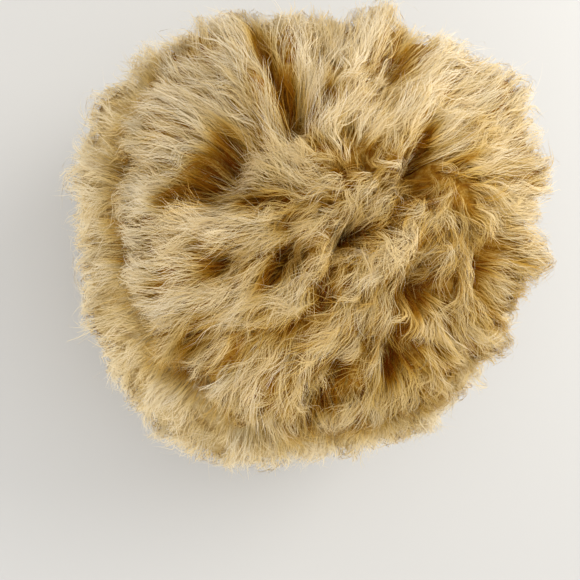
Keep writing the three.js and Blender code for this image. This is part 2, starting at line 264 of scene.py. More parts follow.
# Where the fluff stands a little higher or lower: places as above, heights in mm and spreads in degrees
SWELLS = [
    # azimuth, polar, height, spread
    (30, 58, 11, 12), (157, 72, 3, 12), (117, 66, -14, 14), (57, 56, -12, 13), (-33, 67, 8, 13),
    (-62, 74, 13, 11), (228, 74, 6, 11), (204, 81, -10, 11),
]
SMALL_PITS = 480
SMALL_PIT_LONG = (4.0, 10.0)  # mm
SMALL_PIT_WIDE = (1.6, 3.0)  # mm
SMALL_PIT_DEEP = (4.0, 11.0)  # mm
SMALL_PIT_SCATTER = 0.06  # radians
SMALL_PIT_TURN = 0.35  # radians
SMALL_PIT_FALL = 1.5  # how fast small pits fade where the wool is combed smooth


def basis_of(places, turns):
    """The way and its side at places on the unit ball, turned from straight down to the right."""
    down = unit(places * places[:, 2:3] - np.array([0.0, 0.0, 1.0]))
    side = np.cross(places, down)
    way = down * np.cos(turns)[:, None] + side * np.sin(turns)[:, None]
    return way, np.cross(places, way)


flow_rows = np.radians(np.array(FLOW, dtype=float))
flow_places = direction(flow_rows[:, 0], flow_rows[:, 1])
flow_ways, _ = basis_of(flow_places, flow_rows[:, 2])


def flow(ways):
    """The way the wool is combed at each place, and how settled it is there, 0 to 1."""
    near = 2.0 - 2.0 * (ways @ flow_places.T) + FLOW_BLEND
    weights = 1 / near**FLOW_FALL
    way = (weights @ flow_ways) / weights.sum(axis=1, keepdims=True)
    way -= (way * ways).sum(axis=1, keepdims=True) * ways
    return unit(way), np.linalg.norm(way, axis=1)


def turned(way, about, angle):
    side = np.cross(about, way)
    return way * np.cos(angle)[:, None] + side * np.sin(angle)[:, None]


TANGLED = direction(math.radians(-62), math.radians(17))
TANGLED_REACH = math.radians(46)
TANGLED_EDGE = math.radians(30)
LEAST_TANGLE = 0.3


def tangle(ways):
    """1 in the tangled middle of the crown, less where the wool is combed smooth."""
    near = np.arccos(np.clip(ways @ TANGLED, -1, 1))
    t = np.clip((TANGLED_REACH - near) / TANGLED_EDGE, 0, 1)
    return LEAST_TANGLE + (1 - LEAST_TANGLE) * t * t * (3 - 2 * t)


def spread_places(count, from_polar, to_polar, scatter):
    """Places spread evenly between two polar angles, which may vary round the hat."""
    index = np.arange(count) + 0.5
    azimuth = index * math.pi * (3 - math.sqrt(5))
    level = direction(azimuth, math.pi / 2)
    top, bottom = np.cos(from_polar(level)), np.cos(to_polar(level))
    places = direction(azimuth, np.arccos(top + index / count * (bottom - top)))
    return unit(places + RNG.normal(0, scatter, places.shape))


def at_top(ways):
    return np.full(len(ways), POLAR_TOP)


def at_valley(ways):
    return round_table(POLAR_VALLEY, ways)


def at_bottom(ways):
    return round_table(POLAR_BOTTOM, ways)


FINER = 2  # times the grid's steps, for the surface that the fibres follow
PIT_REACH = 2.4  # half lengths from its middle to where a pit ends
LEAST_REACH = 130  # mm, about the least distance from CENTRE to the wool
fine_az = np.arange(AZ_STEPS * FINER) * 2 * math.pi / (AZ_STEPS * FINER)
fine_polar = np.linspace(0, POLAR_END, POLAR_STEPS * FINER)
fine_ways = direction(fine_az[:, None], fine_polar[None, :])
SURFACE = sample(formed, fine_ways)
# Painted shade: how deep, in mm, the groove and the pits darken the wool
PAINTED_PIT_SHADE = GROOVE_PAINTED_SHADE * sample(groove_depth[:, None] * np.exp(-(off_valley**2)), fine_ways)
for azimuth, polar, height, wide in SWELLS:
    swell_place = direction(math.radians(azimuth), math.radians(polar))
    off_swell = np.arccos(np.clip(fine_ways @ swell_place, -1, 1)) / math.radians(wide)
    SURFACE += height * np.exp(-(off_swell**2))


def press_pit(place, way, side, long, wide, deep):
    """Lower SURFACE in a long soft hollow, and paint shade into the wool there."""
    near = np.nonzero(fine_ways @ place > math.cos(PIT_REACH * long / LEAST_REACH))
    offset = (fine_ways[near] - place) * SURFACE[near][:, None]
    fall = (offset @ way / long) ** 2 + (offset @ side / wide) ** 2
    SURFACE[near] -= deep * np.exp(-fall)
    PAINTED_PIT_SHADE[near] += deep * np.exp(-fall)


pit_rows = np.array(PITS, dtype=float)
pit_places = direction(np.radians(pit_rows[:, 0]), np.radians(pit_rows[:, 1]))
pit_ways, pit_sides = basis_of(pit_places, np.radians(pit_rows[:, 2]))
for k in range(len(PITS)):
    press_pit(pit_places[k], pit_ways[k], pit_sides[k], *pit_rows[k, 3:])
# Small pits, also painted with shade, most where the wool is tangled
small_places = spread_places(SMALL_PITS, at_top, at_bottom, SMALL_PIT_SCATTER)
small_turns = RNG.normal(0, SMALL_PIT_TURN, SMALL_PITS)
small_ways = turned(flow(small_places)[0], small_places, small_turns)
small_sides = np.cross(small_places, small_ways)
for k in range(SMALL_PITS):
    long, wide = RNG.uniform(*SMALL_PIT_LONG), RNG.uniform(*SMALL_PIT_WIDE)
    deep = RNG.uniform(*SMALL_PIT_DEEP) * tangle(small_places[k]) ** SMALL_PIT_FALL
    press_pit(small_places[k], small_ways[k], small_sides[k], long, wide, deep)

# Locks, wisps, strands and fibres
CROWN_LOCKS = 510
BAND_LOCKS = 640
WISPS_A_LOCK = 6
LOW_WISPS = 2  # of a lock's, which fill the gaps between the locks below their surface
STRANDS_A_WISP = 3
FIBRES_A_STRAND = 5
WISP_STEPS = 10
ROOT_DEPTH = 7.5  # mm below the outer surface where a fibre starts to show
STATIONS = np.array([0.0, 0.2, 0.4, 0.6, 0.8, 1.0])
TAPER = np.array([0.8, 1.0, 1.0, 0.85, 0.6, 0.0])  # width at the stations along a fibre
CRIMP = np.array([0.0, 1.0, -1.0, 1.0, -1.0, 0.6])  # from side to side, along a fibre
STEEPEST_RISE = 0.34  # mm outward for each mm of run
LOCK_SCATTER = 0.02  # radians
LOCK_TURN = 0.22  # radians
LOCK_SWEEP = 0.38  # radians that neighbouring locks turn together
LOCK_LENGTH = (19, 30)  # mm
LOCK_LIFT = 1.7  # mm
LOCK_CURL = 0.38  # radians
CURL_LENGTH = 24  # mm along a wisp
LOCK_TONE = (0.92, 0.13)  # middle and spread, 0 golden to 1 cream
TANGLED_TONE = 0.58  # how much more golden the tangled wool is
SWEEP_SCALE = 11

# Wisps: low ones lie under the lock's surface and are darkened with painted shade, top ones on it
WISP_SCATTER = 0.026  # radians
LOW_SCATTER = 0.06  # radians
LOW_SINK = -2.6  # mm
TOP_RISE = 0.6  # mm
LOW_RADIUS = (3.0, 5.0)  # mm
TOP_RADIUS = (1.9, 3.5)  # mm
LOW_PAINTED_SHADE = (0.12, 0.4)  # painted shade, how much darker than the shade of its place
TOP_DIM = (0, 0.16)
BAND_LENGTHENS = 1.18
FILL_WISPS = (1, 3)  # of a crown lock's and of a band lock's, placed where the wool is thin
FILL_CHOICE = 6  # spots tried for each
FILL_SCATTER = 0.01  # radians
HALF_WISP = 0.1  # radians from a wisp's root to its middle
COVER_REACH = 0.06  # radians
LEAST_FACING = 0.25  # cosine, where a steep spot stops counting for more
COVERED_WEIGHT = (0.03, 0.25)  # of a well covered spot, on the crown and on the band
SHALLOW_ROOTS = 0.45  # of ROOT_DEPTH, where a wisp fills a thin spot
WISP_SHARE = (0.65, 1.15)  # of its lock's length
WISP_TURN = 0.2  # radians
WISP_CURL = 0.35  # radians
WISP_PHASE = 0.6  # radians
WISP_LIFT = 0.9  # mm
WISP_STAND = (-1.0, 5.0)  # mm that its end stands out
WISP_TONE = 0.13
LOW_TONE = -0.14
SMOOTH_STAND = 1.1
TANGLED_STAND = 0.5  # less than that where the wool is tangled
LOW_STAND = 0.3  # of a top wisp's
MOST_UNSETTLED = 1.15  # where rows of FLOW cancel out
SETTLES = 1.5  # how fast that falls as they agree
UNSETTLED_SHORTENS = 0.45
UNSETTLED_TURN = 0.7  # radians
UNSETTLED_STAND = 4.0  # mm
SMOOTH_WIDENS = 0.3  # how much wider a wisp is where the wool is combed smooth
SMOOTH_DIM = 0.25  # of a tangled wisp's

# A wisp's path from its root, as shares of its length and powers
RISE_ENDS = 0.42
RISE_POWER = 1.6
LIFT_ENDS = 0.4
STAND_FROM = 0.3
STAND_POWER = 1.4
FIRST_STRIDE = 0.45
ADDED_STRIDE = 0.85
LOCK_BULGE = 9.0  # mm from a lock's middle at which its wisps face aside

crown_place = spread_places(CROWN_LOCKS, at_top, at_valley, LOCK_SCATTER)
band_place = spread_places(BAND_LOCKS, at_valley, at_bottom, LOCK_SCATTER)
lock_place = np.concatenate([crown_place, band_place])
lock_count = CROWN_LOCKS + BAND_LOCKS
lock_tangle = tangle(lock_place)
lock_turn = RNG.normal(0, LOCK_TURN, lock_count) * lock_tangle
lock_wild = 0.5 + 0.5 * lock_tangle
lock_turn += LOCK_SWEEP * lock_wild * waves(lock_place, SWEEP_SCALE, seed=3)
lock_length = RNG.uniform(*LOCK_LENGTH, lock_count)
lock_lift = RNG.normal(0, LOCK_LIFT, lock_count) * lock_wild
lock_curl = RNG.normal(0, LOCK_CURL, lock_count) * lock_tangle
lock_phase = RNG.uniform(0, 2 * math.pi, lock_count)
lock_tone = RNG.normal(*LOCK_TONE, lock_count) - TANGLED_TONE * lock_tangle

wisp_lock = np.repeat(np.arange(lock_count), WISPS_A_LOCK)
wisp_count = len(wisp_lock)
wisp_low = np.tile(np.arange(WISPS_A_LOCK) < LOW_WISPS, lock_count)
wisp_scatter = np.where(wisp_low, LOW_SCATTER, WISP_SCATTER)[:, None]
wisp_way = unit(lock_place[wisp_lock] + RNG.normal(0, 1, (wisp_count, 3)) * wisp_scatter)
wisp_tangle = lock_tangle[wisp_lock]
wisp_on_band = wisp_lock >= CROWN_LOCKS
wisp_number = np.tile(np.arange(WISPS_A_LOCK), lock_count)
wisp_fills = wisp_number < np.array(FILL_WISPS)[wisp_on_band.astype(int)]


def thinly_covered(ways, places, headings):
    """How few of the wisps that start at places lie over each of some ways, 0 to 1."""
    over = unit(places + headings * HALF_WISP)
    cover = (ways @ over.T > math.cos(COVER_REACH)).sum(axis=1)
    return np.clip(1 - cover / np.median(cover), 0, 1)


for on_band in (False, True):
    fills = np.nonzero(wisp_fills & (wisp_on_band == on_band))[0]
    from_polar, to_polar = (at_valley, at_bottom) if on_band else (at_top, at_valley)
    spots = spread_places(FILL_CHOICE * len(fills), from_polar, to_polar, FILL_SCATTER)
    steepness = 1 / np.maximum((sample(NORMALS, spots) * spots).sum(axis=1), LEAST_FACING)
    area = steepness * sample(SURFACE, spots) ** 2
    thin = thinly_covered(spots, wisp_way, flow(wisp_way)[0])
    bare = area * (thin**2 + COVERED_WEIGHT[on_band])
    chosen = RNG.choice(len(spots), len(fills), replace=False, p=bare / bare.sum())
    wisp_way[fills] = spots[chosen]

wisp_length = lock_length[wisp_lock] * RNG.uniform(*WISP_SHARE, wisp_count)
wisp_length *= np.where(wisp_on_band, BAND_LENGTHENS, 1.0)
unsettled = np.clip(MOST_UNSETTLED - flow(wisp_way)[1] * SETTLES, 0, 1)
wisp_length *= 1 - UNSETTLED_SHORTENS * unsettled
wisp_turn = lock_turn[wisp_lock] + RNG.normal(0, WISP_TURN, wisp_count)
wisp_turn += unsettled * RNG.normal(0, UNSETTLED_TURN, wisp_count)
wisp_curl = (lock_curl[wisp_lock] + RNG.normal(0, WISP_CURL, wisp_count)) * (1 - unsettled)
wisp_phase = lock_phase[wisp_lock] + RNG.normal(0, WISP_PHASE, wisp_count)
wisp_lift = lock_lift[wisp_lock] + RNG.normal(0, WISP_LIFT, wisp_count)
wisp_lift += np.where(wisp_low, LOW_SINK, TOP_RISE)
wisp_stand = RNG.uniform(*WISP_STAND, wisp_count) * (SMOOTH_STAND - TANGLED_STAND * wisp_tangle)
wisp_stand = wisp_stand * np.where(wisp_low, LOW_STAND, 1.0) + UNSETTLED_STAND * unsettled
low_radius, top_radius = RNG.uniform(*LOW_RADIUS, wisp_count), RNG.uniform(*TOP_RADIUS, wisp_count)
wisp_radius = np.where(wisp_low, low_radius, top_radius)
wisp_radius *= 1 + SMOOTH_WIDENS - SMOOTH_WIDENS * wisp_tangle
wisp_tone = lock_tone[wisp_lock] + RNG.normal(0, WISP_TONE, wisp_count) + LOW_TONE * wisp_low
# Low wisps are darkened with painted shade for the gaps between the locks; top wisps are dimmed at
# random in their own colour
low_painted_shade, top_dim = RNG.uniform(*LOW_PAINTED_SHADE, wisp_count), RNG.uniform(*TOP_DIM, wisp_count)
wisp_dim_and_painted_shade = np.where(wisp_low, low_painted_shade, top_dim)
wisp_dim_and_painted_shade *= SMOOTH_DIM + (1 - SMOOTH_DIM) * wisp_tangle
wisp_root = ROOT_DEPTH * np.where(wisp_fills, SHALLOW_ROOTS, 1.0)

wisp_points = np.zeros((wisp_count, WISP_STEPS + 1, 3))
way = wisp_way.copy()
for step in range(WISP_STEPS + 1):
    t = step / WISP_STEPS
    reach = sample(SURFACE, way)
    rooted = max(0.0, 1 - t / RISE_ENDS)
    depth = wisp_root * rooted**RISE_POWER - wisp_lift * min(1.0, t / LIFT_ENDS)
    depth -= wisp_stand * max(0.0, (t - STAND_FROM) / (1 - STAND_FROM)) ** STAND_POWER
    wisp_points[:, step] = CENTRE + way * (reach - depth)[:, None]
    stride = wisp_length / WISP_STEPS * (FIRST_STRIDE + ADDED_STRIDE * min(1.0, t / LIFT_ENDS))
    heading, _ = flow(way)
    swing = wisp_turn + wisp_curl * np.sin(wisp_phase + 2 * math.pi * t * wisp_length / CURL_LENGTH)
    heading = turned(heading, way, swing)
    azimuth, polar = angles_of(unit(way + heading * (stride / reach)[:, None]))
    way = direction(azimuth, np.minimum(polar, round_table(POLAR_RIM, way)))

wisp_tangent = unit(np.gradient(wisp_points, axis=1))
wisp_normal = sample(NORMALS, unit(wisp_points - CENTRE))
wisp_normal -= (wisp_normal * wisp_tangent).sum(axis=-1, keepdims=True) * wisp_tangent
wisp_normal = unit(wisp_normal)
lock_middle = np.zeros((lock_count, WISP_STEPS + 1, 3))
np.add.at(lock_middle, wisp_lock, wisp_points / WISPS_A_LOCK)
wisp_bulge = (wisp_points - lock_middle[wisp_lock]) / LOCK_BULGE

# Strands: drift and rise are what they move aside and outward over each mm of run
LOOSE_STRANDS = 0.3  # share of the strands
STRAND_FLAT = 0.7  # height of a wisp of strands for its width
STRAND_DRIFT = 0.09
LOOSE_DRIFT = 0.25
STRAND_RISE = (0.02, 0.05)  # middle and spread
LOOSE_RISE = (0, 0.2)
STRAND_WAVE = (0.25, 0.85)  # mm
STRAND_BEND = (9, 17)  # mm, length of a wave
STRAND_TILT = 0.2
STRAND_TONE = 0.12

# Fibres
FIBRE_WIDTH = 0.23  # mm
STRAY_FIBRES = 0.14  # share of the fibres
STRAY_WIDTH = 0.55  # of the others'
FIBRE_START = (0, 0.3)  # share of the wisp's length
FIBRE_END = (0.62, 1.0)
FIBRE_DRIFT = 0.17
STRAY_DRIFT = 0.35
FIBRE_RISE = 0.06
STRAY_RISE = (0, 0.28)
FIBRE_PHASE = 0.8  # radians
FIBRE_WAVE = (0.6, 1.3)  # of its strand's
WAVE_FLAT = 0.5  # height of a wave for its width
FIBRE_ACROSS = 0.95  # mm from its strand's middle
FIBRE_OUT = 0.6  # mm
CRIMP_SIZE = (0.1, 0.3)  # mm
FIBRE_TILT = 0.5  # radians
FIBRE_WIDTHS = (0.6, 1.25)  # of FIBRE_WIDTH
FIBRE_TONE = 0.08
ROOT_SPREAD = 1.1  # of a strand's distance from the middle of its wisp
TIP_GATHERS = 0.4

# Shading: what turns the normals away from the surface's, and the painted shade that darkens the wool's
# colour
BUNDLE = 3.6  # mm, half the width over which strands are shaded as one round lock
BUNDLE_TURNS = 0.3
LOCK_TURNS = 0.35
TANGENT_TURNS = 0.12
SHADE_FROM = -1.5  # mm below the surface
SHADE_DEPTH = 8  # mm over which painted shade darkens the wool, with some of its own darker colour deep down
SMOOTH_SHADE = 0.32
TANGLED_SHADE = 0.53  # added where the wool is tangled
# Painted shade in the pits and the groove
PIT_SHADES = 5.5  # mm of pit at which it is darkest
PIT_SHADE = 0.85
PIT_POWER = 1.3
# Painted shade where the surface sinks below its broad form
SUNK_FROM = 2  # mm below the broad form
SUNK_DEPTH = 10  # mm
SUNK_SHADE = 0.3
ROOT_LIGHT = 0.75  # of the tip's

strand_wisp = np.repeat(np.arange(wisp_count), STRANDS_A_WISP)
strand_count = len(strand_wisp)
strand_angle = RNG.uniform(0, 2 * math.pi, strand_count)
strand_radius = np.sqrt(RNG.random(strand_count)) * wisp_radius[strand_wisp]
strand_across = strand_radius * np.cos(strand_angle)
strand_out = strand_radius * np.sin(strand_angle) * STRAND_FLAT
strand_loose = RNG.random(strand_count) < LOOSE_STRANDS
strand_drift = RNG.normal(0, STRAND_DRIFT, strand_count)
strand_drift += strand_loose * RNG.normal(0, LOOSE_DRIFT, strand_count)
strand_rise = RNG.normal(*STRAND_RISE, strand_count)
strand_rise += strand_loose * RNG.uniform(*LOOSE_RISE, strand_count)
strand_wave = RNG.uniform(*STRAND_WAVE, strand_count)
strand_bend = RNG.uniform(*STRAND_BEND, strand_count)
strand_phase = RNG.uniform(0, 2 * math.pi, strand_count)
strand_tilt = RNG.normal(0, STRAND_TILT, strand_count)
strand_tone = wisp_tone[strand_wisp] + RNG.normal(0, STRAND_TONE, strand_count)


def at_stations(values, wisp, places):
    """Values along wisps read at places from 0 to 1."""
    spot = np.clip(places, 0, 1) * WISP_STEPS
    low = np.minimum(np.floor(spot).astype(int), WISP_STEPS - 1)
    part = (spot - low)[..., None]
    return values[wisp[:, None], low] * (1 - part) + values[wisp[:, None], low + 1] * part


def kept_in_bounds(points):
    """Points clear of the hide, its opening and the floor, with their ways and distances from CENTRE
    as they were before the box and the rim moved them."""
    ways = unit(points - CENTRE)
    distance = np.linalg.norm(points - CENTRE, axis=-1)
    distance = np.maximum(distance, sample(HIDE, ways) + HIDE_CLEAR)
    low = np.array(CAD_BOX[0]) / MM - BOX_SLACK
    high = np.array(CAD_BOX[1]) / MM + BOX_SLACK
    low[2] = FLOOR_CLEAR
    points = np.clip(CENTRE + ways * distance[..., None], low, high)
    return clear_of_rim(points, HIDE_CLEAR), ways, distance


def shade_of(wisp, places, ways, distance):
    """How light the wool is: painted shade in its depth, pits and low wisps; dim top wisps and roots
    darker in colour.
    """
    below = sample(SURFACE, ways) - distance
    # Painted shade in pits, in the groove and where the surface sinks below its broad form
    pitted = np.clip(sample(PAINTED_PIT_SHADE, ways) / PIT_SHADES, 0, 1)
    sunk = sample(BROAD, ways) - sample(SURFACE + PAINTED_PIT_SHADE, ways) - SUNK_FROM
    sunk = np.clip(sunk / SUNK_DEPTH, 0, 1)
    # Painted shade: the wool darkens with depth below the surface, more where it is tangled; partly this
    # is its own darker colour deep down
    darkest = (SMOOTH_SHADE + TANGLED_SHADE * wisp_tangle[wisp])[:, None]
    deepness = darkest * np.clip((below - SHADE_FROM) / SHADE_DEPTH, 0, 1)
    shade = 1 - deepness - PIT_SHADE * pitted**PIT_POWER - SUNK_SHADE * sunk
    shade -= wisp_dim_and_painted_shade[wisp][:, None]
    return shade * (ROOT_LIGHT + (1 - ROOT_LIGHT) * places)


def fibres_of(strands):
    """Points, width vectors, shading normals, tone and shade of the fibres of some strands."""
    strand = np.repeat(strands, FIBRES_A_STRAND)
    wisp = strand_wisp[strand]
    count = len(strand)
    stray = RNG.random(count) < STRAY_FIBRES
    start = RNG.uniform(*FIBRE_START, count)
    end = RNG.uniform(*FIBRE_END, count)
    places = start[:, None] + (end - start)[:, None] * STATIONS
    centre = at_stations(wisp_points, wisp, places)
    tangent = unit(at_stations(wisp_tangent, wisp, places))
    normal = unit(at_stations(wisp_normal, wisp, places))
    side = np.cross(tangent, normal)
    bulge = at_stations(wisp_bulge, wisp, places)

    run = places * wisp_length[wisp][:, None]
    gather = ROOT_SPREAD - TIP_GATHERS * places
    drift = strand_drift[strand] + RNG.normal(0, FIBRE_DRIFT, count)
    drift += stray * RNG.normal(0, STRAY_DRIFT, count)
    rise = strand_rise[strand] + RNG.normal(0, FIBRE_RISE, count)
    rise += stray * RNG.uniform(*STRAY_RISE, count)
    rise = np.minimum(rise, STEEPEST_RISE)
    phase = strand_phase[strand] + RNG.normal(0, FIBRE_PHASE, count)
    wave = strand_wave[strand] * RNG.uniform(*FIBRE_WAVE, count)
    turn = 2 * math.pi * run / strand_bend[strand][:, None] + phase[:, None]
    own_across = RNG.normal(0, FIBRE_ACROSS, count)[:, None]
    own_across = own_across + RNG.uniform(*CRIMP_SIZE, count)[:, None] * CRIMP
    own_out = RNG.normal(0, FIBRE_OUT, count)[:, None]
    across = strand_across[strand][:, None] * gather + own_across + wave[:, None] * np.sin(turn)
    outward = strand_out[strand][:, None] * gather + own_out
    outward = outward + WAVE_FLAT * wave[:, None] * np.cos(turn)
    across += drift[:, None] * run * places
    outward += rise[:, None] * run * places
    points = centre + side * across[..., None] + normal * outward[..., None]
    points, ways, distance = kept_in_bounds(points)

    tangent = unit(np.gradient(points, axis=1))
    side = unit(np.cross(tangent, normal))
    tilt = RNG.normal(0, FIBRE_TILT, count)[:, None, None]
    facing = side * np.cos(tilt) + normal * np.sin(tilt)
    width = FIBRE_WIDTH * RNG.uniform(*FIBRE_WIDTHS, count) * np.where(stray, STRAY_WIDTH, 1.0)
    half = facing * (width[:, None] * TAPER / 2)[..., None]

    local = side * (across / BUNDLE + strand_tilt[strand][:, None])[..., None]
    local += normal * (outward / BUNDLE)[..., None]
    shading = sample(NORMALS, ways) + BUNDLE_TURNS * local + LOCK_TURNS * bulge
    shading = unit(shading + TANGENT_TURNS * tangent)
    shade = shade_of(wisp, places, ways, distance)
    tone = strand_tone[strand] + RNG.normal(0, FIBRE_TONE, count)
    return points, half, shading, np.clip(tone, 0.01, 0.99), np.clip(shade, 0.01, 0.99)


# The UV map: across is the wool's tone, up is its shade, painted shade included, and each fibre is a
# narrow strip
STRIP = 0.004
TONE_SPAN = 0.988
SHADE_LOW = 0.01
SHADE_SPAN = 0.97
SHADE_TOP = 0.99
STATION_STEP = 0.002  # the least that a strip climbs from station to station
TOP_STEP = 0.0012  # as much above SHADE_TOP


def along_ribbon(left, right, tip):
    """Values at a ribbon's vertices: its left and right side by turns, then its tip."""
    sides = np.stack([left, right], axis=2).reshape(len(left), -1, left.shape[-1])
    return np.concatenate([sides, tip[:, None]], axis=1).astype(np.float32)


def mesh_of(name, points, half, shading, tone, shade):
    """One mesh of tapered ribbons, with the tone and the shade, painted shade included, of each fibre in
    its UV map.
    """
    count, stations = points.shape[:2]
    ends = stations - 1
    per = 2 * ends + 1
    vertices = along_ribbon((points - half)[:, :ends], (points + half)[:, :ends], points[:, -1])
    normals = along_ribbon(shading[:, :ends], shading[:, :ends], shading[:, -1])
    quads = [(2 * k, 2 * k + 1, 2 * k + 3, 2 * k + 2) for k in range(ends - 1)]
    corner = np.append(np.ravel(quads), [2 * ends - 2, 2 * ends - 1, 2 * ends])
    loops = (np.arange(count)[:, None] * per + corner).ravel()
    loop_starts = (np.arange(count)[:, None] * len(corner) + 4 * np.arange(ends)).ravel()
    loop_totals = np.tile([4] * (ends - 1) + [3], count)

    mesh = bpy.data.meshes.new(name)
    mesh.vertices.add(count * per)
    mesh.vertices.foreach_set("co", (vertices * MM).ravel())
    mesh.loops.add(len(loops))
    mesh.loops.foreach_set("vertex_index", loops.astype(np.int32))
    mesh.polygons.add(len(loop_starts))
    mesh.polygons.foreach_set("loop_start", loop_starts.astype(np.int32))
    mesh.polygons.foreach_set("loop_total", loop_totals.astype(np.int32))
    mesh.polygons.foreach_set("use_smooth", np.ones(len(loop_starts), dtype=bool))

    column = np.repeat((STRIP + tone * TONE_SPAN)[:, None], stations, axis=1)
    level = SHADE_LOW + shade * SHADE_SPAN
    level = np.maximum.accumulate(level + np.arange(stations) * STATION_STEP, axis=1)
    level = np.minimum(level, SHADE_TOP + np.arange(stations) * TOP_STEP)
    left = np.stack([column, level], axis=-1)
    tip = left[:, -1] + (STRIP / 2, 0)
    uv = along_ribbon(left[:, :ends], left[:, :ends] + (STRIP, 0), tip)
    layer = mesh.uv_layers.new(name="OFBake")
    layer.uv.foreach_set("vector", uv[:, corner].reshape(-1))
    mesh.update(calc_edges=True)
    mesh.normals_split_custom_set_from_vertices(normals.reshape(-1, 3))
    made = bpy.data.objects.new(name, mesh)
    bpy.context.scene.collection.objects.link(made)
    return made


# Materials
def new_material(name):
    material = bpy.data.materials.new(name)
    material.use_nodes = True
    nodes, links = material.node_tree.nodes, material.node_tree.links
    return material, nodes, links, nodes["Principled BSDF"]


def ramp(nodes, stops):
    made = nodes.new("ShaderNodeValToRGB")
    elements = made.color_ramp.elements
    while len(elements) < len(stops):
        elements.new(0.5)
    for element, (place, colour) in zip(elements, stops):
        element.position = place
        element.color = (*colour, 1)
    return made


def wool_material(name, golden, cream):
    material, nodes, links, shader = new_material(name)
    uv = nodes.new("ShaderNodeUVMap")
    uv.uv_map = "OFBake"
    split = nodes.new("ShaderNodeSeparateXYZ")
    links.new(uv.outputs[0], split.inputs[0])
    dark, pale = ramp(nodes, golden), ramp(nodes, cream)
    links.new(split.outputs[1], dark.inputs[0])
    links.new(split.outputs[1], pale.inputs[0])
    mix = nodes.new("ShaderNodeMix")
    mix.data_type = "RGBA"
    links.new(split.outputs[0], mix.inputs["Factor"])
    links.new(dark.outputs[0], mix.inputs["A"])
    links.new(pale.outputs[0], mix.inputs["B"])
    links.new(mix.outputs["Result"], shader.inputs["Base Color"])
    shader.inputs["Roughness"].default_value = 0.85
    shader.inputs["Specular IOR Level"].default_value = 0.02
    return material


def noise(nodes, links, scale, detail, roughness):
    coordinates = nodes.new("ShaderNodeTexCoord")
    texture = nodes.new("ShaderNodeTexNoise")
    texture.inputs["Scale"].default_value = scale
    texture.inputs["Detail"].default_value = detail
    texture.inputs["Roughness"].default_value = roughness
    links.new(coordinates.outputs["Object"], texture.inputs["Vector"])
    return texture


def underwool_material(name, dark, middle, pale):
    material, nodes, links, shader = new_material(name)
    patches = noise(nodes, links, 220, 8, 0.8)
    colours = ramp(nodes, [(0.35, dark), (0.5, middle), (0.62, pale)])
    links.new(patches.outputs["Fac"], colours.inputs[0])
    links.new(colours.outputs[0], shader.inputs["Base Color"])
    strands = noise(nodes, links, 500, 6, 0.8)
    bump = nodes.new("ShaderNodeBump")
    bump.inputs["Strength"].default_value = 0.8
    bump.inputs["Distance"].default_value = 0.003
    links.new(strands.outputs["Fac"], bump.inputs["Height"])
    links.new(bump.outputs[0], shader.inputs["Normal"])
    shader.inputs["Roughness"].default_value = 0.95
    shader.inputs["Specular IOR Level"].default_value = 0.1
    return material


def suede_material():
    material, nodes, links, shader = new_material("suede")
    patches = noise(nodes, links, 25, 5, 0.6)
    colours = ramp(
        nodes, [(0.3, (0.33, 0.19, 0.09)), (0.55, (0.45, 0.28, 0.14)), (0.8, (0.56, 0.38, 0.21))]
    )
    links.new(patches.outputs["Fac"], colours.inputs[0])
    links.new(colours.outputs[0], shader.inputs["Base Color"])
    nap = noise(nodes, links, 900, 3, 0.7)
    bump = nodes.new("ShaderNodeBump")
    bump.inputs["Strength"].default_value = 0.35
    bump.inputs["Distance"].default_value = 0.0006
    links.new(nap.outputs["Fac"], bump.inputs["Height"])
    links.new(bump.outputs[0], shader.inputs["Normal"])
    shader.inputs["Roughness"].default_value = 0.92
    shader.inputs["Sheen Weight"].default_value = 0.3
    shader.inputs["Specular IOR Level"].default_value = 0.2
    return material


# Up each ramp: the dark low stops are the painted shade of pits and depths, the top is the wool's own
# colour at the tips
CROWN_WOOL = wool_material(
    "crown_wool",
    golden=[(0.0, (0.11, 0.012, 0.0005)), (0.25, (0.34, 0.135, 0.005)), (0.55, (0.60, 0.35, 0.055)),
            (0.8, (0.73, 0.51, 0.17)), (1.0, (0.80, 0.62, 0.31))],
    cream=[(0.0, (0.17, 0.03, 0.001)), (0.25, (0.47, 0.235, 0.016)), (0.55, (0.76, 0.55, 0.21)),
           (0.8, (0.87, 0.74, 0.49)), (1.0, (0.92, 0.83, 0.67))],
)
# The band's wool is paler than the crown's: partly its own paler colour and partly painted light that
# lifts the shade the crown casts on it
BAND_WOOL = wool_material(
    "band_wool",
    golden=[(0.0, (0.17, 0.05, 0.004)), (0.25, (0.45, 0.24, 0.03)), (0.55, (0.67, 0.45, 0.13)),
            (0.8, (0.76, 0.57, 0.26)), (1.0, (0.82, 0.67, 0.40))],
    cream=[(0.0, (0.26, 0.10, 0.01)), (0.25, (0.61, 0.37, 0.075)), (0.55, (0.79, 0.61, 0.28)),
           (0.8, (0.89, 0.76, 0.50)), (1.0, (0.94, 0.85, 0.67))],
)
CROWN_UNDERWOOL = underwool_material(
    "crown_underwool", (0.20, 0.045, 0.002), (0.40, 0.18, 0.012), (0.58, 0.35, 0.07)
)
BAND_UNDERWOOL = underwool_material(
    "band_underwool", (0.42, 0.24, 0.06), (0.62, 0.43, 0.16), (0.76, 0.60, 0.32)
)
SUEDE = suede_material()

